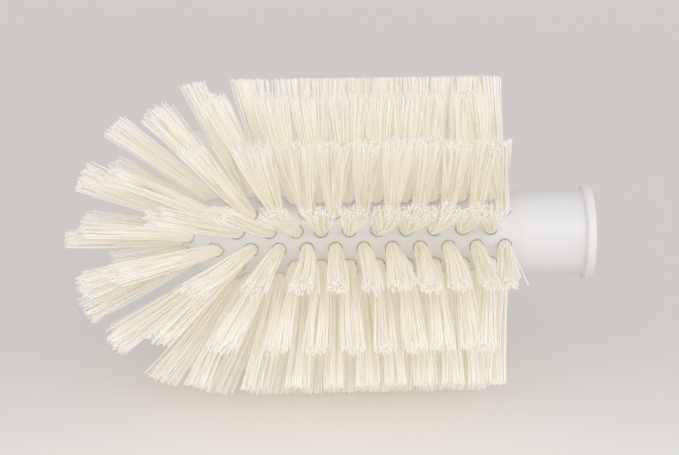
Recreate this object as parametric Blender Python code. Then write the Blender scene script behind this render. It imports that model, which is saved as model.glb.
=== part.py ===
"""Full-round pipe and tube cleaning brush head with a threaded handle socket."""
import math

import bpy
import bmesh
import numpy as np
from mathutils import Matrix, Vector

# ---------------------------------------------------------------- dimensions (metres)
ROW_COUNT = 14                 # lengthwise rows of tufts around the core
ROW_STEP = 360.0 / ROW_COUNT   # degrees
PITCH = 0.00907                # hole pitch along one row
FIRST_HOLE_X = 0.0898          # full rows: hole nearest the neck, from the dome centre
CORE_R = 0.0132
NECK_R = 0.0137
NECK_STEP = 0.0005             # length of the small cone between core and neck
NECK_FILLET = 0.0006
FLANGE_R = 0.01545
FLANGE_T = 0.0031
FLANGE_ROUND = 0.0010
STEP_X = 0.0955                # where the drilled core meets the neck
END_X = 0.1194                 # outer face of the flange
TIP_R = 0.0515                 # radius of the brushing surface
GAP = 0.0003                   # clearance between parts that sit in one another

HOLE_R = 0.0022
HOLE_DEPTH = 0.0060
NOSE_DEPTH = 0.0042            # shallower holes where they crowd together in the dome
DRILL_OVERRUN = 0.0040         # how far the drill stands out of the surface

THREAD_MINOR_R = 0.00975
THREAD_MAJOR_R = 0.01125
THREAD_PITCH = 0.0050
SOCKET_DEPTH = 0.0225
SOCKET_POINT = (0.0018, 0.0055)     # conical floor of the socket: height, small radius
SOCKET_OVERRUN = 0.0012
THREAD_START = 0.0012          # plain length at the floor of the socket
THREAD_FADE = 0.0025           # length over which the thread grows to its full height
MOUTH_LEAD = 0.0016            # length of the lead-in cone at the mouth
MOUTH_CLEAR = 0.0002           # the mouth is wider than the thread by this much
THREAD_CREST = (0.5, 0.85)     # middle and swing of the thread wave before it is clipped

ANCHOR = (0.0036, 0.0005, 0.0016)   # staple: width, thickness, height
ANCHOR_FOOT = NOSE_DEPTH - 2 * GAP - ANCHOR[2]

# tufts: half widths at the trimmed end
TUFT_MOUTH = 0.0005            # height over the core at which a tuft starts to flare
COMB_WIDE = 0.0052
COMB_WIDE_NOSE = (0.0077, 0.0077, 0.0064)   # the three tufts of a comb nearest the dome
COMB_DEEP = 0.0040
COMB_STAGGER = 0.0002          # every other tuft of a comb is lower and narrower by this much
NOSE_WIDE = 0.0046
NOSE_DEEP = 0.0044
TRIM_STEP = 0.00005
TRIM_REACH = 0.06

# lean of the tufts toward the dome, degrees: last two straight tufts of a row, then
# (distance from the dome centre, lean) of the leaning ones
FULL_STRAIGHT_LEAN = (2.0, 6.0)
HALF_STRAIGHT_LEAN = (1.5, 5.0)
FULL_LEAN = ((0.0173, 13.0), (0.0083, 26.0), (-0.0035, 53.0))
HALF_LEAN = ((0.0229, 12.0), (0.0142, 24.0), (0.0037, 37.0), (-0.0110, 65.0))
FULL_STRAIGHT = 8              # straight tufts in a full row
HALF_STRAIGHT = 7              # and in a row set half a pitch back
DEEP_HOLE_LEAN = 20.0          # holes that lean further than this are the shallow ones
END_RING_LEAN = 60.0           # tufts that lean further than this have their own staple
APEX_LEAN = 90.0

CORE_SHADE_ANGLE = 34.0
TUFT_SHADE_ANGLE = 40.0
MERGE_DISTANCE = 0.00002
DEGENERATE_LENGTH = 0.000005

for obj in list(bpy.data.objects):
    bpy.data.objects.remove(obj, do_unlink=True)


# ---------------------------------------------------------------- materials
def material(name, colour, roughness, metallic=0.0):
    mat = bpy.data.materials.new(name)
    mat.use_nodes = True
    bsdf = mat.node_tree.nodes['Principled BSDF']
    bsdf.inputs['Base Color'].default_value = (*colour, 1.0)
    bsdf.inputs['Roughness'].default_value = roughness
    bsdf.inputs['Metallic'].default_value = metallic
    return mat


MAT_CORE = material('white_polypropylene', (0.83, 0.84, 0.83), 0.38)
MAT_BRISTLE = material('cream_polyester_bristle', (0.80, 0.76, 0.62), 0.45)
MAT_STEEL = material('stainless_anchor', (0.62, 0.62, 0.60), 0.30, 1.0)


# ---------------------------------------------------------------- helpers
def make_object(name, verts, faces, mat, smooth=None):
    mesh = bpy.data.meshes.new(name)
    mesh.from_pydata([tuple(v) for v in verts], [], faces)
    bm = bmesh.new()
    bm.from_mesh(mesh)
    bmesh.ops.recalc_face_normals(bm, faces=bm.faces)
    bm.to_mesh(mesh)
    bm.free()
    mesh.materials.append(mat)
    obj = bpy.data.objects.new(name, mesh)
    bpy.context.scene.collection.objects.link(obj)
    if smooth is not None:
        mesh.shade_smooth()
        mesh.set_sharp_from_angle(angle=math.radians(smooth))
    return obj


def loft(rings):
    """Closed skin over a list of rings, each the same number of points."""
    n = len(rings[0])
    verts = [p for ring in rings for p in ring]
    faces = [tuple(reversed(range(n)))]
    for i in range(len(rings) - 1):
        for j in range(n):
            k = (j + 1) % n
            faces.append((i * n + j, i * n + k, (i + 1) * n + k, (i + 1) * n + j))
    last = (len(rings) - 1) * n
    faces.append(tuple(range(last, last + n)))
    return verts, faces


def boolean(target, tool, operation):
    mod = target.modifiers.new(operation.lower(), 'BOOLEAN')
    mod.operation = operation
    mod.solver = 'EXACT'
    mod.object = tool
    tool.hide_render = True
    tool.display_type = 'WIRE'
    bpy.context.view_layer.update()
    graph = bpy.context.evaluated_depsgraph_get()
    mesh = bpy.data.meshes.new_from_object(target.evaluated_get(graph))
    target.modifiers.clear()
    old = target.data
    target.data = mesh
    bpy.data.meshes.remove(old)
    bpy.data.objects.remove(tool, do_unlink=True)


def clean(obj, smooth):
    bm = bmesh.new()
    bm.from_mesh(obj.data)
    bmesh.ops.remove_doubles(bm, verts=bm.verts, dist=MERGE_DISTANCE)
    bmesh.ops.dissolve_degenerate(bm, edges=bm.edges, dist=DEGENERATE_LENGTH)
    bmesh.ops.recalc_face_normals(bm, faces=bm.faces)
    bm.to_mesh(obj.data)
    bm.free()
    obj.data.shade_smooth()
    obj.data.set_sharp_from_angle(angle=math.radians(smooth))


def surface_point(x, phi):
    """Point of the core surface at station x, and the angle phi around the axis."""
    r = CORE_R if x >= 0 else math.sqrt(max(CORE_R ** 2 - x ** 2, 0.0))
    ph = math.radians(phi)
    return Vector((x, -r * math.cos(ph), r * math.sin(ph)))


def tuft_axes(x, phi, lean):
    """Root point, direction, and two cross directions of one tuft."""
    ph = math.radians(phi)
    out = Vector((0.0, -math.cos(ph), math.sin(ph)))
    a = math.radians(lean)
    direction = out * math.cos(a) + Vector((-1.0, 0.0, 0.0)) * math.sin(a)
    along = Vector((1.0, 0.0, 0.0)) * math.cos(a) + out * math.sin(a)
    side = direction.cross(along).normalized()
    root = surface_point(x, phi) if lean < APEX_LEAN else Vector((-CORE_R, 0.0, 0.0))
    return root, direction.normalized(), along.normalized(), side


def ring(centre, along, side, ra, rs, sides=8):
    pts = []
    for i in range(sides):
        t = 2 * math.pi * (i + 0.5) / sides
        pts.append(centre + along * (ra * math.cos(t)) + side * (rs * math.sin(t)))
    return pts


def trim_length(root, direction, inset=0.0):
    """Distance along a filament to the trimmed surface: a cylinder with a domed end."""
    limit = TIP_R - inset
    t = 0.0
    while t < TRIM_REACH:
        p = root + direction * t
        radial = math.hypot(p.y, p.z)
        if (p.x >= 0 and radial >= limit) or (p.x < 0 and p.length >= limit):
            break
        t += TRIM_STEP
    return t


def tuft_skin(x, phi, lean, wide, deep, foot, inset=0.0):
    root, direction, along, side = tuft_axes(x, phi, lean)
    length = trim_length(root, direction)
    r = HOLE_R - GAP
    mouth = ring(root + direction * TUFT_MOUTH, along, side, r, r)
    flared = ring(root + direction * length, along, side, wide, deep)
    trimmed = []
    for a, b in zip(mouth, flared):
        way = (b - a).normalized()
        trimmed.append(a + way * trim_length(a, way, inset))
    return loft([ring(root - direction * foot, along, side, r, r), mouth, trimmed])


def hole_skin(x, phi, lean, depth):
    root, direction, along, side = tuft_axes(x, phi, lean)
    rings = [ring(root - direction * depth, along, side, HOLE_R, HOLE_R),
             ring(root + direction * DRILL_OVERRUN, along, side, HOLE_R, HOLE_R)]
    return loft(rings)


# ---------------------------------------------------------------- hole layout
def row_holes(index):
    """Stations and leans of one lengthwise row, neck end first."""
    if index % 2 == 0:
        first, count = FIRST_HOLE_X, FULL_STRAIGHT
        last_leans, leaning = FULL_STRAIGHT_LEAN, FULL_LEAN
    else:
        first, count = FIRST_HOLE_X - PITCH / 2, HALF_STRAIGHT
        last_leans, leaning = HALF_STRAIGHT_LEAN, HALF_LEAN
    leans = [0.0] * (count - len(last_leans)) + list(last_leans)
    straight = [(first - PITCH * k, lean) for k, lean in enumerate(leans)]
    return straight, list(leaning)


def hole_depth(lean):
    return NOSE_DEPTH if lean > DEEP_HOLE_LEAN else HOLE_DEPTH


# ---------------------------------------------------------------- core
def core_profile():
    pts = []
    for i in range(1, 11):
        a = math.radians(9.0 * i)
        pts.append((-CORE_R * math.cos(a), CORE_R * math.sin(a)))
    pts += [(STEP_X - NECK_STEP, CORE_R), (STEP_X, NECK_R)]
    inner = END_X - FLANGE_T
    for deg in (0, 45, 90):
        a = math.radians(deg)
        pts.append((inner - NECK_FILLET * (1 - math.sin(a)), NECK_R + NECK_FILLET * (1 - math.cos(a))))
    rim = FLANGE_R - FLANGE_ROUND
    for deg in (0, 30, 60, 90):
        a = math.radians(deg)
        pts.append((inner + FLANGE_ROUND * (1 - math.cos(a)), rim + FLANGE_ROUND * math.sin(a)))
    for deg in (0, 30, 60, 90):
        a = math.radians(deg)
        pts.append((END_X - FLANGE_ROUND * (1 - math.sin(a)), rim + FLANGE_ROUND * math.cos(a)))
    return pts


def make_core(segments=3 * ROW_COUNT):
    profile = core_profile()
    verts = [(-CORE_R, 0.0, 0.0)]
    for x, r in profile:
        for j in range(segments):
            t = 2 * math.pi * (j + 0.5) / segments
            verts.append((x, -r * math.cos(t), r * math.sin(t)))
    end = len(verts)
    verts.append((profile[-1][0], 0.0, 0.0))
    faces = []
    for j in range(segments):
        k = (j + 1) % segments
        faces.append((0, 1 + j, 1 + k))
        for i in range(len(profile) - 1):
            a, b = 1 + i * segments, 1 + (i + 1) * segments
            faces.append((a + j, b + j, b + k, a + k))
        a = 1 + (len(profile) - 1) * segments
        faces.append((a + j, end, a + k))
    return make_object('core', verts, faces, MAT_CORE)


def tap_cutter(segments=24, per_pitch=6):
    """Socket cavity with a rounded coarse helical thread, run out at both ends."""
    start = END_X - SOCKET_DEPTH
    stop = END_X + SOCKET_OVERRUN
    step = THREAD_PITCH / per_pitch
    count = int(round((stop - start) / step)) + 1
    height = THREAD_MAJOR_R - THREAD_MINOR_R
    middle, swing = THREAD_CREST
    point, point_r = SOCKET_POINT
    turns = [2 * math.pi * j / segments for j in range(segments)]
    rings = [[Vector((start - point, -point_r * math.cos(t), point_r * math.sin(t))) for t in turns]]
    for i in range(count):
        x = start + (stop - start) * i / (count - 1)
        fade = min(1.0, max(0.0, (x - start - THREAD_START) / THREAD_FADE))
        lead = min(1.0, max(0.0, (x - END_X + MOUTH_LEAD) / MOUTH_LEAD))
        mouth_r = THREAD_MINOR_R + lead * (height + MOUTH_CLEAR)
        pts = []
        for t in turns:
            wave = math.cos(2 * math.pi * x / THREAD_PITCH - t)
            lift = min(1.0, max(0.0, middle + swing * wave))
            r = max(THREAD_MINOR_R + height * lift * fade, mouth_r)
            pts.append(Vector((x, -r * math.cos(t), r * math.sin(t))))
        rings.append(pts)
    verts, faces = loft(rings)
    return make_object('tap_cutter', verts, faces, MAT_CORE)


def drill_cutter():
    verts, faces = [], []

    def add(skin):
        base = len(verts)
        verts.extend(skin[0])
        faces.extend([tuple(base + i for i in f) for f in skin[1]])

    for row in range(ROW_COUNT):
        straight, leaning = row_holes(row)
        for x, lean in straight + leaning:
            add(hole_skin(x, row * ROW_STEP, lean, hole_depth(lean)))
    add(hole_skin(-CORE_R, 0.0, APEX_LEAN, NOSE_DEPTH))
    return make_object('drill_cutter', verts, faces, MAT_CORE)


core = make_core()
boolean(core, tap_cutter(), 'DIFFERENCE')
boolean(core, drill_cutter(), 'DIFFERENCE')
clean(core, CORE_SHADE_ANGLE)


# ---------------------------------------------------------------- tufts and anchors
def make_anchor(name, x, phi, lean):
    root, direction, along, side = tuft_axes(x, phi, lean)
    w, t, h = ANCHOR
    centre = root - direction * (NOSE_DEPTH - GAP - h / 2)
    verts = []
    for dz in (-0.5, 0.5):
        for dx, dy in ((-0.5, -0.5), (0.5, -0.5), (0.5, 0.5), (-0.5, 0.5)):
            verts.append(centre + side * (w * dx) + along * (t * dy) + direction * (h * dz))
    faces = [(0, 3, 2, 1), (4, 5, 6, 7), (0, 1, 5, 4), (1, 2, 6, 5), (2, 3, 7, 6), (3, 0, 4, 7)]
    return make_object(name, verts, faces, MAT_STEEL)


def comb_widths(index, count):
    """Tip half widths and trim inset of one tuft of a comb, counted from the neck."""
    from_nose = count - 1 - index
    wide = COMB_WIDE_NOSE[from_nose] if from_nose < len(COMB_WIDE_NOSE) else COMB_WIDE
    inset = COMB_STAGGER * (index % 2)
    return wide, COMB_DEEP - inset, inset


def make_comb(row, holes):
    """The straight tufts of one row, joined into one body."""
    name = 'tuft_row_%02d' % row
    comb = None
    for i, (x, lean) in enumerate(holes):
        wide, deep, inset = comb_widths(i, len(holes))
        skin = tuft_skin(x, row * ROW_STEP, lean, wide, deep, HOLE_DEPTH - GAP, inset)
        if comb is None:
            comb = make_object(name, *skin, MAT_BRISTLE)
        else:
            boolean(comb, make_object('joining', *skin, MAT_BRISTLE), 'UNION')
    clean(comb, TUFT_SHADE_ANGLE)


def make_single(name, x, phi, lean, foot):
    skin = tuft_skin(x, phi, lean, NOSE_WIDE, NOSE_DEEP, foot)
    make_object(name, *skin, MAT_BRISTLE, TUFT_SHADE_ANGLE)


for row in range(ROW_COUNT):
    straight, leaning = row_holes(row)
    make_comb(row, straight + leaning[:1])
    for i, (x, lean) in enumerate(leaning[1:], 1):
        phi = row * ROW_STEP
        if lean > END_RING_LEAN:
            make_single('end_ring_tuft_%02d' % row, x, phi, lean, ANCHOR_FOOT)
            make_anchor('end_ring_anchor_%02d' % row, x, phi, lean)
        else:
            make_single('nose_tuft_%02d_%d' % (row, i), x, phi, lean, NOSE_DEPTH - GAP)

make_single('apex_tuft', -CORE_R, 0.0, APEX_LEAN, ANCHOR_FOOT)
make_anchor('apex_anchor', -CORE_R, 0.0, APEX_LEAN)

# ---------------------------------------------------------------- set down on the bristle tips
bpy.context.view_layer.update()
points = np.array([v.co for o in bpy.data.objects for v in o.data.vertices])
low, high = points.min(axis=0), points.max(axis=0)
shift = Matrix.Translation((-(low[0] + high[0]) / 2, -(low[1] + high[1]) / 2, -low[2]))
for obj in bpy.data.objects:
    obj.data.transform(shift)
    obj.data.update()
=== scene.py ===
"""Looks of the tube cleaning brush head: drilled core, filament tufts, anchors, studio."""
import math

import bmesh
import bpy
import numpy as np
from mathutils import Matrix, Vector


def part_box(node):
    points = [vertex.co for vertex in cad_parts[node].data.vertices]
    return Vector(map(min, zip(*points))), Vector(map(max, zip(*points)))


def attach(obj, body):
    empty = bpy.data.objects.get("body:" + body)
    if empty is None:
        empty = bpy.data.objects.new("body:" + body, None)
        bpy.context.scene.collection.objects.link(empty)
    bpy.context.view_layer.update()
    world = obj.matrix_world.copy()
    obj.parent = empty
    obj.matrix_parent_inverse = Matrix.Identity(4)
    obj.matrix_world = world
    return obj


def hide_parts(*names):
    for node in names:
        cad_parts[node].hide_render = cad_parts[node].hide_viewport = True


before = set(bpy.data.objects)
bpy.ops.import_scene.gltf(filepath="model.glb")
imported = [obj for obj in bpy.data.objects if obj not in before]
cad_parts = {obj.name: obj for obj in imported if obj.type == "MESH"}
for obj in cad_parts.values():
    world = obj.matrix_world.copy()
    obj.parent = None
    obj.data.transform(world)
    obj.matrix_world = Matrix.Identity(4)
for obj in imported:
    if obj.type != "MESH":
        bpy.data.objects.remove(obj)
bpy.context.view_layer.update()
core_low, core_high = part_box("core")

# ---------------------------------------------------------------- layout (metres)
# stations are measured along the brush from the centre of its domed end
FACE_X = 0.1194                           # outer face of the flange
STEP_X = 0.0955                           # where the drilled core meets the neck
FIRST_HOLE = 0.0898                       # full rows: hole nearest the neck
PITCH = 0.00907
ROW_COUNT = 14
ROW_STEP = 2 * math.pi / ROW_COUNT
AXIS_Z = (core_low.z + core_high.z) / 2
ORIGIN = np.array([core_high.x - FACE_X, 0.0, AXIS_Z])

CORE_R = 0.0132
NECK_R = 0.0137
NECK_OVERRUN = 0.0006                     # the core reaches the neck's radius this far past the step
NECK_BLEND = 0.0032                       # length of the soft change of radius
NECK_FILLET = 0.0008
FLANGE_R = 0.01545
FLANGE_T = 0.0031
FLANGE_ROUND = 0.0010
TIP_R = 0.0514                            # radius of the brushing surface

HOLE_R = 0.00227
HOLE_DEPTH = 0.0058
NOSE_DEPTH = 0.0040                       # holes crowded together in the dome are shallower
DEEP_HOLE_LEAN = 20.0                     # tufts that lean further than this are in those holes
DRILL_OVERRUN = 0.004

# lean of the tufts toward the dome, degrees: last two straight tufts of a row, then
# (station, lean) of the leaning ones; even rows are full, odd ones are set half a pitch back
STRAIGHT_COUNT = (8, 7)
STRAIGHT_LEAN = ((2.0, 6.0), (1.5, 5.0))
LEANING = (((0.0173, 13.0), (0.0083, 26.0), (-0.0035, 53.0)),
           ((0.0229, 12.0), (0.0142, 24.0), (0.0037, 37.0), (-0.0110, 65.0)))
END_RING_LEAN = 60.0                      # the ring of tufts round the apex leans further than this
APEX_LEAN = 90.0

SOCKET_DEPTH = 0.0225
SOCKET_POINT = 0.0018                     # height of the cone at the socket's floor
SOCKET_FLOOR_R = (0.004854, 0.004227)     # radii of the two rings of that cone
THREAD_MINOR_R = 0.00975
THREAD_MAJOR_R = 0.01125
THREAD_PITCH = 0.0050
THREAD_START = 0.0012                     # plain length at the floor of the socket
THREAD_FADE = 0.0025                      # length over which the thread grows to full height
THREAD_MIDDLE = 0.5                       # middle and swing of the thread wave before clipping
THREAD_SWING = 0.85
MOUTH_LEAD = 0.0016                       # length of the lead-in cone
MOUTH_CLEAR = 0.0004                      # the lead-in is wider than the thread by this much
MOUTH_LIP = 0.0006

CORE_SEGMENTS = 168
DRILL_SIDES = 20
CORE_SHADE_ANGLE = 35.0

# ---------------------------------------------------------------- filaments (metres)
FILAMENT_R = 0.000205
FILAMENT_R_RANGE = (0.88, 1.1)
FILAMENT_SIDES = 6
FILAMENT_SHADE_ANGLE = 75.0
FILAMENT_RINGS = ((1.0, 26), (0.79, 20), (0.58, 15), (0.37, 9), (0.16, 4))
BUNDLE_R = 0.00212                        # a tuft where it leaves its hole
FOOT_CLEAR = 0.0008                       # filaments stop this far above the floor of the hole
FAN_AT = 0.0382                           # height over the core at which the fan sizes below apply
# half width of a tuft's trimmed end along the row, and scatter, in the rows that differ
FAN_BY_ROW = {0: (0.0035, 0.10), 1: (0.0045, 0.17), 12: (0.0035, 0.10), 13: (0.0035, 0.10)}
LOOSE_FAN_HALF = 0.0043                   # the same in all other rows
LOOSE_SCATTER = 0.13
DOME_TUFTS_WIDER = 1.3                    # their last three tufts, next to the dome, spread further
FAN_THICK = 0.0021                        # across the row: a staple spreads a tuft one way only
NOSE_FAN_HALF = 0.0038
NOSE_FAN_THICK = 0.0024
NOSE_SCATTER = 0.13
WIDTH_RANGE = (0.84, 1.12)                # how much whole tufts differ along the row
THICK_RANGE = (0.84, 1.16)                # and across it
TUFT_TILT = 0.0004                        # spread of where whole tufts point
END_TUCK = 0.0048                         # tips of the tuft at the neck are set in this far
STRAY_SHARE = 0.045
END_STRAY_SHARE = 0.03
STRAY_SPREAD = (0.5, 0.6)
UNEVEN = 0.0005                           # spread of filament length
NOSE_UNEVEN = 0.0014
SHORT_SHARE = 0.03
SHORT_RANGE = (0.90, 0.98)
FILAMENT_BEND = 0.00016
TUFT_BEND = 0.00025
TONE_ATTRIBUTE = "filament_tone"

rng = np.random.default_rng(14)


# ---------------------------------------------------------------- materials
def new_material(name):
    mat = bpy.data.materials.new(name)
    mat.use_nodes = True
    return mat, mat.node_tree.nodes, mat.node_tree.links


def add_noise(nodes, links, coord, scale, detail=2.0):
    noise = nodes.new("ShaderNodeTexNoise")
    noise.inputs["Scale"].default_value = scale
    noise.inputs["Detail"].default_value = detail
    links.new(coord.outputs["Object"], noise.inputs["Vector"])
    return noise


def add_tint(nodes, links, factor, dark, light, start=0.0, end=1.0):
    """Colour ramp between two colours, joined to the base colour."""
    tint = nodes.new("ShaderNodeValToRGB")
    tint.color_ramp.elements[0].position = start
    tint.color_ramp.elements[0].color = (*dark, 1)
    tint.color_ramp.elements[1].position = end
    tint.color_ramp.elements[1].color = (*light, 1)
    links.new(factor, tint.inputs["Fac"])
    links.new(tint.outputs["Color"], nodes["Principled BSDF"].inputs["Base Color"])


def add_math(nodes, operation, **inputs):
    node = nodes.new("ShaderNodeMath")
    node.operation = operation
    for place, value in inputs.items():
        node.inputs[int(place[-1])].default_value = value
    return node


def plastic_material():
    mat, nodes, links = new_material("moulded_polypropylene")
    bsdf = nodes["Principled BSDF"]
    coord = nodes.new("ShaderNodeTexCoord")
    cloud = add_noise(nodes, links, coord, 60.0, 4.0)
    add_tint(nodes, links, cloud.outputs["Fac"], (0.765, 0.763, 0.778), (0.790, 0.788, 0.802), 0.3, 0.7)
    fine = add_noise(nodes, links, coord, 900.0, 3.0)
    rough = nodes.new("ShaderNodeMapRange")
    rough.inputs["To Min"].default_value = 0.32
    rough.inputs["To Max"].default_value = 0.46
    links.new(fine.outputs["Fac"], rough.inputs["Value"])
    links.new(rough.outputs["Result"], bsdf.inputs["Roughness"])
    bump = nodes.new("ShaderNodeBump")
    bump.inputs["Strength"].default_value = 0.12
    bump.inputs["Distance"].default_value = 0.00005
    links.new(fine.outputs["Fac"], bump.inputs["Height"])
    links.new(bump.outputs["Normal"], bsdf.inputs["Normal"])
    bsdf.inputs["Subsurface Weight"].default_value = 0.5
    bsdf.inputs["Subsurface Radius"].default_value = (1.0, 0.9, 0.8)
    bsdf.inputs["Subsurface Scale"].default_value = 0.0025
    return mat


def distance_from_core(nodes, links, coord):
    """Node whose value is the distance from the brush axis, or over the dome from its centre."""
    from_origin = nodes.new("ShaderNodeVectorMath")
    from_origin.operation = "SUBTRACT"
    from_origin.inputs[1].default_value = tuple(ORIGIN)
    parts = nodes.new("ShaderNodeSeparateXYZ")
    nose_side = add_math(nodes, "MINIMUM", input_1=0.0)
    joined = nodes.new("ShaderNodeCombineXYZ")
    radius = nodes.new("ShaderNodeVectorMath")
    radius.operation = "LENGTH"
    links.new(coord.outputs["Object"], from_origin.inputs[0])
    links.new(from_origin.outputs["Vector"], parts.inputs["Vector"])
    links.new(parts.outputs["X"], nose_side.inputs[0])
    links.new(nose_side.outputs["Value"], joined.inputs["X"])
    links.new(parts.outputs["Y"], joined.inputs["Y"])
    links.new(parts.outputs["Z"], joined.inputs["Z"])
    links.new(joined.outputs["Vector"], radius.inputs[0])
    return radius


def bristle_material():
    """Cream filament, whiter toward the cut tips; the deeper cream toward the roots is painted shade
    from the filaments shading each other. Each filament has its own slight tone.
    """
    mat, nodes, links = new_material("cream_polyester_filament")
    bsdf = nodes["Principled BSDF"]
    coord = nodes.new("ShaderNodeTexCoord")
    radius = distance_from_core(nodes, links, coord)
    # painted shade: the colour deepens from the tips toward the roots, where the filaments shade each
    # other
    toward_tip = nodes.new("ShaderNodeMapRange")
    toward_tip.inputs["From Min"].default_value = CORE_R
    toward_tip.inputs["From Max"].default_value = TIP_R
    toward_tip.inputs["To Max"].default_value = 0.75
    own = nodes.new("ShaderNodeAttribute")
    own.attribute_name = TONE_ATTRIBUTE
    toned = add_math(nodes, "MULTIPLY_ADD", input_1=0.15)
    clouded = add_math(nodes, "MULTIPLY_ADD", input_1=0.1)
    cloud = add_noise(nodes, links, coord, 120.0)
    links.new(radius.outputs["Value"], toward_tip.inputs["Value"])
    links.new(own.outputs["Fac"], toned.inputs[0])
    links.new(toward_tip.outputs["Result"], toned.inputs[2])
    links.new(cloud.outputs["Fac"], clouded.inputs[0])
    links.new(toned.outputs["Value"], clouded.inputs[2])
    add_tint(nodes, links, clouded.outputs["Value"], (0.974, 0.951, 0.889), (0.982, 0.971, 0.942))
    bsdf.inputs["Roughness"].default_value = 0.50
    bsdf.inputs["IOR"].default_value = 1.4
    bsdf.inputs["Subsurface Weight"].default_value = 1.0
    bsdf.inputs["Subsurface Radius"].default_value = (1.0, 0.95, 0.85)
    bsdf.inputs["Subsurface Scale"].default_value = 0.0014
    # painted glow: a flat emission stands in for the daylight that clear filaments carry down to their
    # roots, which path tracing loses between them
    bsdf.inputs["Emission Color"].default_value = (1.0, 0.985, 0.90, 1)
    bsdf.inputs["Emission Strength"].default_value = 0.040
    return mat


def steel_material():
    mat, nodes, links = new_material("drawn_stainless_wire")
    coord = nodes.new("ShaderNodeTexCoord")
    streak = add_noise(nodes, links, coord, 1500.0)
    add_tint(nodes, links, streak.outputs["Fac"], (0.50, 0.50, 0.49), (0.66, 0.66, 0.64))
    nodes["Principled BSDF"].inputs["Metallic"].default_value = 1.0
    nodes["Principled BSDF"].inputs["Roughness"].default_value = 0.3
    return mat


def hole_shade_material():
    # painted shade: the hole walls are coloured near black to stand for the shade deep in the drilled
    # holes round the filaments
    mat, nodes, links = new_material("drilled_hole_painted_shade")
    coord = nodes.new("ShaderNodeTexCoord")
    shade_mottle = add_noise(nodes, links, coord, 2500.0)
    add_tint(nodes, links, shade_mottle.outputs["Fac"], (0.09, 0.075, 0.05), (0.16, 0.14, 0.10))
    nodes["Principled BSDF"].inputs["Roughness"].default_value = 0.8
    return mat


PLASTIC = plastic_material()
HOLE_SHADE = hole_shade_material()
BRISTLE = bristle_material()
STEEL = steel_material()


# ---------------------------------------------------------------- mesh helpers
def make_object(name, verts, faces, mat, body="root", smooth=None):
    mesh = bpy.data.meshes.new(name)
    mesh.from_pydata([tuple(v) for v in verts], [], faces)
    mesh.materials.append(mat)
    obj = bpy.data.objects.new(name, mesh)
    bpy.context.scene.collection.objects.link(obj)
    if smooth:
        mesh.shade_smooth()
        mesh.set_sharp_from_angle(angle=math.radians(smooth))
    if body:
        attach(obj, body)
    return obj


def fix_normals(obj):
    bm = bmesh.new()
    bm.from_mesh(obj.data)
    bmesh.ops.recalc_face_normals(bm, faces=bm.faces)
    bm.to_mesh(obj.data)
    bm.free()


def skin(rings):
    """Closed skin over a list of rings, each the same number of points."""
    n = len(rings[0])
    verts = [p for ring in rings for p in ring]
    faces = [tuple(reversed(range(n)))]
    for i in range(len(rings) - 1):
        for j in range(n):
            k = (j + 1) % n
            faces.append((i * n + j, i * n + k, (i + 1) * n + k, (i + 1) * n + j))
    last = (len(rings) - 1) * n
    faces.append(tuple(range(last, last + n)))
    return verts, faces


def cut(target, tool):
    mod = target.modifiers.new("cut", "BOOLEAN")
    mod.operation = "DIFFERENCE"
    mod.solver = "EXACT"
    mod.object = tool
    graph = bpy.context.evaluated_depsgraph_get()
    mesh = bpy.data.meshes.new_from_object(target.evaluated_get(graph))
    target.modifiers.clear()
    target.data = mesh
    bpy.data.objects.remove(tool)


# ---------------------------------------------------------------- tuft layout
def tuft_frame(x, phi, lean):
    """Root point, direction, and two cross directions of one tuft, dome centre at the origin."""
    out = np.array([0.0, -math.cos(phi), math.sin(phi)])
    a = math.radians(lean)
    nose = np.array([-1.0, 0.0, 0.0])
    direction = out * math.cos(a) + nose * math.sin(a)
    along = -nose * math.cos(a) + out * math.sin(a)
    side = np.cross(direction, along)
    if lean >= APEX_LEAN:
        root = nose * CORE_R
    else:
        r = CORE_R if x >= 0 else math.sqrt(CORE_R ** 2 - x ** 2)
        root = out * r - nose * x
    return root, direction, along, side


def row_tufts(index):
    """Stations and leans of one lengthwise row, neck end first."""
    half_row = index % 2
    first = FIRST_HOLE - PITCH / 2 * half_row
    last_leans = STRAIGHT_LEAN[half_row]
    leans = [0.0] * (STRAIGHT_COUNT[half_row] - len(last_leans)) + list(last_leans)
    straight = [(first - PITCH * k, lean) for k, lean in enumerate(leans)]
    return straight + list(LEANING[half_row])


def hole_depth(lean):
    return NOSE_DEPTH if lean > DEEP_HOLE_LEAN else HOLE_DEPTH


# ---------------------------------------------------------------- core
def quarter_turn(steps=6):
    """Angles from 0 to 90 degrees in radians."""
    return [math.pi / 2 * i / steps for i in range(steps + 1)]


def core_profile():
    """Stations and radii of the core's outside, from the apex to the flange face."""
    pts = [(-CORE_R * math.cos(a), CORE_R * math.sin(a)) for a in quarter_turn(30)[1:]]
    blend_end = STEP_X + NECK_OVERRUN
    body_steps, blend_steps, neck_steps = 48, 12, 7
    for i in range(1, body_steps + 1):
        pts.append(((blend_end - NECK_BLEND) * i / body_steps, CORE_R))
    for i in range(1, blend_steps + 1):
        s = i / blend_steps
        rise = 3 * s * s - 2 * s ** 3
        pts.append((blend_end - NECK_BLEND * (1 - s), CORE_R + (NECK_R - CORE_R) * rise))
    inner = FACE_X - FLANGE_T
    neck_end = inner - NECK_FILLET
    for i in range(1, neck_steps + 1):
        pts.append((blend_end + (neck_end - blend_end) * i / neck_steps, NECK_R))
    for a in quarter_turn()[1:]:
        pts.append((neck_end + NECK_FILLET * math.sin(a), NECK_R + NECK_FILLET * (1 - math.cos(a))))
    rim = FLANGE_R - FLANGE_ROUND
    for a in quarter_turn():
        pts.append((inner + FLANGE_ROUND * (1 - math.cos(a)), rim + FLANGE_ROUND * math.sin(a)))
    for a in quarter_turn():
        pts.append((FACE_X - FLANGE_ROUND * (1 - math.sin(a)), rim + FLANGE_ROUND * math.cos(a)))
    pts.append((FACE_X, THREAD_MAJOR_R + MOUTH_LIP))
    return pts


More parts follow.
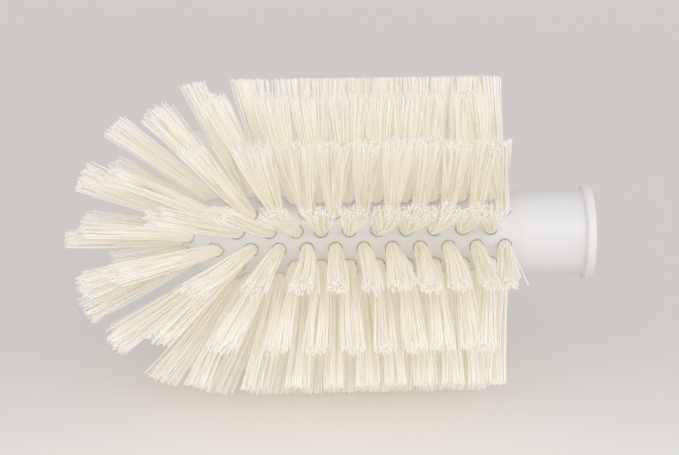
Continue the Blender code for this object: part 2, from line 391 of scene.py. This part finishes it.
def ring_points(x, r):
    """One ring of the core; r is one radius or one per point."""
    t = np.arange(CORE_SEGMENTS) * 2 * math.pi / CORE_SEGMENTS
    return np.stack([x + 0 * t, -r * np.cos(t), r * np.sin(t)], 1) + ORIGIN


def socket_rings():
    """Rings of the threaded socket from its mouth inwards."""
    steps_per_turn = 14
    count = int(round(SOCKET_DEPTH / THREAD_PITCH * steps_per_turn))
    height = THREAD_MAJOR_R - THREAD_MINOR_R
    t = np.arange(CORE_SEGMENTS) * 2 * math.pi / CORE_SEGMENTS
    rings = []
    for i in range(count + 1):
        x = FACE_X - SOCKET_DEPTH * i / count
        from_floor = x - (FACE_X - SOCKET_DEPTH)
        fade = min(1.0, max(0.0, (from_floor - THREAD_START) / THREAD_FADE))
        wave = np.cos(2 * math.pi * x / THREAD_PITCH - t)
        lift = np.clip(THREAD_MIDDLE + THREAD_SWING * wave, 0, 1)
        lead = max(0.0, x - FACE_X + MOUTH_LEAD) / MOUTH_LEAD
        mouth_r = THREAD_MINOR_R + lead * (height + MOUTH_CLEAR)
        rings.append(ring_points(x, np.maximum(THREAD_MINOR_R + height * lift * fade, mouth_r)))
    floor_x = FACE_X - SOCKET_DEPTH - SOCKET_POINT
    return rings + [ring_points(floor_x, r) for r in SOCKET_FLOOR_R]


def add_drill(verts, faces, x, phi, lean):
    root, direction, along, side = tuft_frame(x, phi, lean)
    t = np.arange(DRILL_SIDES) * 2 * math.pi / DRILL_SIDES
    circle = (np.cos(t)[:, None] * along + np.sin(t)[:, None] * side) * HOLE_R
    centre = ORIGIN + root
    base = len(verts)
    drill_verts, drill_faces = skin([centre + circle - direction * hole_depth(lean),
                                     centre + circle + direction * DRILL_OVERRUN])
    verts.extend(drill_verts)
    faces.extend([tuple(base + i for i in face) for face in drill_faces])


def make_core():
    rings = [ring_points(x, r) for x, r in core_profile()] + socket_rings()
    verts = [p for ring in rings for p in ring]
    apex = len(verts)
    verts.append(ORIGIN + np.array([-CORE_R, 0, 0]))
    floor = len(verts)
    verts.append(ORIGIN + np.array([FACE_X - SOCKET_DEPTH - SOCKET_POINT, 0, 0]))
    last = (len(rings) - 1) * CORE_SEGMENTS
    faces = []
    for j in range(CORE_SEGMENTS):
        k = (j + 1) % CORE_SEGMENTS
        for start in range(0, last, CORE_SEGMENTS):
            after = start + CORE_SEGMENTS
            faces.append((start + j, after + j, after + k, start + k))
        faces.append((apex, j, k))
        faces.append((last + j, floor, last + k))
    core = make_object("core_moulding", verts, faces, PLASTIC)
    fix_normals(core)
    drill_verts, drill_faces = [], []
    for row in range(ROW_COUNT):
        for x, lean in row_tufts(row):
            add_drill(drill_verts, drill_faces, x, row * ROW_STEP, lean)
    add_drill(drill_verts, drill_faces, -CORE_R, 0.0, APEX_LEAN)
    drill = make_object("drill", drill_verts, drill_faces, PLASTIC, body=None)
    fix_normals(drill)
    # the drilled faces carry the painted shade of the hole walls
    for mesh in (core.data, drill.data):
        mesh.materials.append(HOLE_SHADE)
    drill.data.polygons.foreach_set("material_index", [1] * len(drill.data.polygons))
    cut(core, drill)
    core.data.shade_smooth()
    core.data.set_sharp_from_angle(angle=math.radians(CORE_SHADE_ANGLE))
    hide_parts("core")


# ---------------------------------------------------------------- filaments
def trim_distance(start, way):
    """Distance along each straight filament to the trimmed surface (cylinder with a domed end)."""
    a = way[:, 1] ** 2 + way[:, 2] ** 2
    b = start[:, 1] * way[:, 1] + start[:, 2] * way[:, 2]
    c = start[:, 1] ** 2 + start[:, 2] ** 2 - TIP_R ** 2
    cylinder = (-b + np.sqrt(np.maximum(b * b - a * c, 0))) / np.maximum(a, 1e-9)
    b = np.sum(start * way, 1)
    c = np.sum(start * start, 1) - TIP_R ** 2
    ball = -b + np.sqrt(np.maximum(b * b - c, 0))
    past_dome = start[:, 0] + way[:, 0] * cylinder >= 0
    return np.where(past_dome, cylinder, ball)


def packed_circle():
    """Unit positions of one tuft's filaments where they leave the hole, in close rings."""
    pts = []
    for radius, count in FILAMENT_RINGS:
        start = rng.uniform(0, 2 * math.pi)
        t = start + np.arange(count) * 2 * math.pi / count
        pts.append(np.stack([radius * np.cos(t), radius * np.sin(t)], 1))
    return np.concatenate(pts)


def tuft_filaments(x, phi, lean, wide, thick, scatter, tuck=0.0):
    """Centre lines (count, points, 3) of one tuft's filaments, and its cross direction."""
    root, direction, along, side = tuft_frame(x, phi, lean)
    u, v = packed_circle().T
    n = len(u)
    base = root + (u[:, None] * along + v[:, None] * side) * (BUNDLE_R - FILAMENT_R)
    u = u * rng.uniform(*WIDTH_RANGE) + rng.normal(0, scatter, n)
    v = v * rng.uniform(*THICK_RANGE) + rng.normal(0, 1.5 * scatter, n)
    stray = rng.random(n) < (END_STRAY_SHARE if tuck else STRAY_SHARE)
    u = np.where(stray, u + rng.normal(0, STRAY_SPREAD[0], n), u)
    v = np.where(stray, v + rng.normal(0, STRAY_SPREAD[1], n), v)
    tip = root + direction * FAN_AT + (u[:, None] * along * wide + v[:, None] * side * thick)
    tip += along * (rng.normal(0, TUFT_TILT) - tuck) + side * rng.normal(0, TUFT_TILT)
    way = tip - base
    way /= np.linalg.norm(way, axis=1)[:, None]
    uneven = NOSE_UNEVEN if lean > DEEP_HOLE_LEAN else UNEVEN
    reach = trim_distance(base, way) - np.minimum(np.abs(rng.normal(0, uneven, n)), 2.5 * uneven)
    short = rng.random(n) < SHORT_SHARE
    reach = np.where(short, reach * rng.uniform(*SHORT_RANGE, n), reach)
    foot = base - direction * (hole_depth(lean) - FOOT_CLEAR)
    bend = rng.normal(0, FILAMENT_BEND, (n, 2)) + rng.normal(0, TUFT_BEND, 2)
    sideways = bend[:, :1] * along + bend[:, 1:] * side
    pts = [foot, base]
    for s in (0.25, 0.5, 0.75, 1.0):
        pts.append(base + way * (reach * s)[:, None] + sideways * (4 * s * (1 - s)))
    return np.stack(pts, 1), side


def tube_arrays(lines, across):
    """Vertices and faces of closed tubes round the given centre lines.
    across is one cross direction per line, never along it, which keeps a tube from twisting."""
    n, m, _ = lines.shape
    sides = FILAMENT_SIDES
    way = np.empty_like(lines)
    way[:, 1:-1] = lines[:, 2:] - lines[:, :-2]
    way[:, 0] = lines[:, 1] - lines[:, 0]
    way[:, -1] = lines[:, -1] - lines[:, -2]
    way /= np.linalg.norm(way, axis=2)[..., None]
    a = np.cross(way, across[:, None, :])
    a /= np.linalg.norm(a, axis=2)[..., None]
    b = np.cross(way, a)
    turn = rng.uniform(0, 2 * math.pi, n)[:, None, None]
    t = np.arange(sides)[None, None, :] * 2 * math.pi / sides + turn
    r = FILAMENT_R * rng.uniform(*FILAMENT_R_RANGE, n)[:, None, None, None]
    ring = lines[:, :, None, :] + r * (np.cos(t)[..., None] * a[:, :, None, :]
                                       + np.sin(t)[..., None] * b[:, :, None, :])
    first = np.arange(n)[:, None] * (m * sides)
    start = first[..., None] + np.arange(m - 1)[None, :, None] * sides
    j = np.arange(sides)[None, None, :]
    k = (j + 1) % sides
    quads = np.stack([start + j, start + k, start + sides + k, start + sides + j], -1)
    feet = first + np.arange(sides)[None, ::-1]
    tips = first + (m - 1) * sides + np.arange(sides)[None, :]
    return ring.reshape(-1, 3), quads.reshape(-1, 4), np.concatenate([feet, tips])


def filament_object(name, tufts, node):
    """One piece of separate filaments that stands for a CAD node; tufts are tuft_filaments inputs."""
    lines, across = [], []
    for tuft in tufts:
        line, side = tuft_filaments(*tuft)
        lines.append(line + ORIGIN)
        across.append(np.repeat(side[None, :], len(line), 0))
    verts, quads, caps = tube_arrays(np.concatenate(lines), np.concatenate(across))
    loops = np.concatenate([quads.ravel(), caps.ravel()]).astype(np.int32)
    sizes = np.concatenate([np.full(len(quads), 4), np.full(len(caps), FILAMENT_SIDES)])
    starts = np.concatenate([[0], np.cumsum(sizes)[:-1]]).astype(np.int32)
    mesh = bpy.data.meshes.new(name)
    mesh.vertices.add(len(verts))
    mesh.vertices.foreach_set("co", verts.astype(np.float32).ravel())
    mesh.loops.add(len(loops))
    mesh.loops.foreach_set("vertex_index", loops)
    mesh.polygons.add(len(sizes))
    mesh.polygons.foreach_set("loop_start", starts)
    mesh.update(calc_edges=True)
    mesh.validate()
    tone = mesh.attributes.new(TONE_ATTRIBUTE, "FLOAT", "POINT")
    per_filament = lines[0].shape[1] * FILAMENT_SIDES
    tones = rng.random(len(verts) // per_filament)
    tone.data.foreach_set("value", np.repeat(tones, per_filament).astype(np.float32))
    mesh.materials.append(BRISTLE)
    mesh.shade_smooth()
    mesh.set_sharp_from_angle(angle=math.radians(FILAMENT_SHADE_ANGLE))
    obj = bpy.data.objects.new(name, mesh)
    bpy.context.scene.collection.objects.link(obj)
    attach(obj, "root")
    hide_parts(node)


def comb_tufts(row, tufts):
    """tuft_filaments inputs for the joined tufts of one row, neck end first."""
    half, scatter = FAN_BY_ROW.get(row, (LOOSE_FAN_HALF, LOOSE_SCATTER))
    comb = []
    for i, (x, lean) in enumerate(tufts):
        tuck = END_TUCK if i == 0 else 0.0
        next_to_dome = i >= len(tufts) - 3 and row not in FAN_BY_ROW
        widen = DOME_TUFTS_WIDER if next_to_dome else 1.0
        comb.append((x, row * ROW_STEP, lean, half * widen, FAN_THICK, scatter, tuck))
    return comb


def make_tufts():
    nose_fan = (NOSE_FAN_HALF, NOSE_FAN_THICK, NOSE_SCATTER)
    for row in range(ROW_COUNT):
        tufts = row_tufts(row)
        split = STRAIGHT_COUNT[row % 2] + 1
        comb = comb_tufts(row, tufts[:split])
        filament_object("row_%02d_filaments" % row, comb, "tuft_row_%02d" % row)
        for i, (x, lean) in enumerate(tufts[split:], 1):
            if lean > END_RING_LEAN:
                node = "end_ring_tuft_%02d" % row
            else:
                node = "nose_tuft_%02d_%d" % (row, i)
            filament_object(node + "_filaments", [(x, row * ROW_STEP, lean, *nose_fan)], node)
    filament_object("apex_tuft_filaments", [(-CORE_R, 0.0, APEX_LEAN, *nose_fan)], "apex_tuft")


def finish_anchors():
    for node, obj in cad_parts.items():
        if "anchor" in node:
            obj.data.materials.clear()
            obj.data.materials.append(STEEL)


# ---------------------------------------------------------------- studio
def backdrop_material():
    """Warm grey paper with painted light: lighter toward its front edge, and a painted pool of bounce
    light in front of the brush that thins its shadow.
    """
    mix_a, mix_b, mix_result = 6, 7, 2    # colour sockets of the mix node
    mat, nodes, links = new_material("backdrop")
    bsdf = nodes["Principled BSDF"]
    coord = nodes.new("ShaderNodeTexCoord")
    parts = nodes.new("ShaderNodeSeparateXYZ")
    # painted light: the paper is coloured lighter toward its front edge, as if lit more there
    depth = nodes.new("ShaderNodeMapRange")
    depth.inputs["From Min"].default_value = 0.60
    depth.inputs["From Max"].default_value = -0.06
    tint = nodes.new("ShaderNodeValToRGB")
    ramp = tint.color_ramp
    ramp.elements[0].color = (0.585, 0.571, 0.556, 1)
    ramp.elements[1].color = (0.665, 0.645, 0.630, 1)
    for place, grey in ((0.40, 0.555), (0.85, 0.552)):
        ramp.elements.new(place).color = (grey, grey * 0.970, grey * 0.945, 1)
    # painted bounce light: a spherical patch in front of the brush is screened lighter, thinning the
    # brush's shadow there
    glow_at = nodes.new("ShaderNodeMapping")
    glow_at.inputs["Location"].default_value = (0.07, 1.4, 0.0)
    glow_at.inputs["Scale"].default_value = (7.0, 21.0, 7.0)
    glow = nodes.new("ShaderNodeTexGradient")
    glow.gradient_type = "SPHERICAL"
    lift = nodes.new("ShaderNodeMix")
    lift.data_type = "RGBA"
    lift.blend_type = "SCREEN"
    lift.inputs[mix_b].default_value = (0.17, 0.167, 0.164, 1)
    links.new(coord.outputs["Object"], parts.inputs["Vector"])
    links.new(parts.outputs["Y"], depth.inputs["Value"])
    links.new(depth.outputs["Result"], tint.inputs["Fac"])
    links.new(coord.outputs["Object"], glow_at.inputs["Vector"])
    links.new(glow_at.outputs["Vector"], glow.inputs["Vector"])
    links.new(glow.outputs["Fac"], lift.inputs["Factor"])
    links.new(tint.outputs["Color"], lift.inputs[mix_a])
    links.new(lift.outputs[mix_result], bsdf.inputs["Base Color"])
    bsdf.inputs["Roughness"].default_value = 0.6
    bsdf.inputs["Emission Color"].default_value = (1.0, 0.975, 0.955, 1)
    bsdf.inputs["Emission Strength"].default_value = 0.18
    return mat


def make_backdrop():
    half_width, front, back, sweep, top = 3.0, -1.2, 0.9, 0.8, 3.0
    profile = [(front, 0.0)]
    profile += [(back + sweep * math.sin(a), sweep * (1 - math.cos(a))) for a in quarter_turn(12)]
    profile.append((back + sweep, top))
    verts = [(x, y, z) for x in (-half_width, half_width) for y, z in profile]
    n = len(profile)
    faces = [(i, n + i, n + i + 1, i + 1) for i in range(n - 1)]
    backdrop = make_object("backdrop", verts, faces, backdrop_material(), body=None, smooth=60)


def add_light(name, where, size, power):
    """Rectangular lamp aimed at the middle of the brush."""
    data = bpy.data.lights.new(name, "AREA")
    data.shape = "RECTANGLE"
    data.size, data.size_y = size
    data.energy = power
    lamp = bpy.data.objects.new(name, data)
    lamp.location = where
    aim = Vector((0, 0, AXIS_Z)) - Vector(where)
    lamp.rotation_euler = aim.to_track_quat("-Z", "Y").to_euler()
    bpy.context.scene.collection.objects.link(lamp)


def make_lights():
    add_light("front", (0, -1.3, 0.75), (2.2, 1.0), 9.2)
    add_light("left", (-1.2, -0.6, 0.4), (1.0, 0.8), 0.9)
    add_light("right", (1.2, -0.6, 0.4), (1.0, 0.8), 2.0)
    world = bpy.data.worlds.new("studio")
    world.use_nodes = True
    sky = world.node_tree.nodes["Background"]
    sky.inputs["Color"].default_value = (1.0, 0.985, 0.97, 1)
    sky.inputs["Strength"].default_value = 0.635
    bpy.context.scene.world = world


def make_camera():
    azimuth = math.radians(-3.6)
    elevation = math.radians(17.69)
    roll = math.radians(0.1)
    distance = 0.768
    target = Vector(ORIGIN + np.array([0.0375, 0.0, 0.0029]))
    back = Vector((math.sin(azimuth) * math.cos(elevation),
                   -math.cos(azimuth) * math.cos(elevation), math.sin(elevation)))
    data = bpy.data.cameras.new("camera")
    data.sensor_width = 36.0
    data.lens = 125.6
    data.clip_start, data.clip_end = 0.01, 20.0
    cam = bpy.data.objects.new("camera", data)
    cam.location = target + back * distance
    cam.rotation_mode = "QUATERNION"
    turn = Matrix.Rotation(roll, 4, "Z").to_quaternion()
    cam.rotation_quaternion = (-back).to_track_quat("-Z", "Y") @ turn
    bpy.context.scene.collection.objects.link(cam)
    bpy.context.scene.camera = cam


make_core()
make_tufts()
finish_anchors()
make_backdrop()
make_lights()
make_camera()
bpy.context.scene.view_settings.view_transform = "Standard"
bpy.context.scene.cycles.max_bounces = 32
bpy.context.scene.cycles.diffuse_bounces = 24
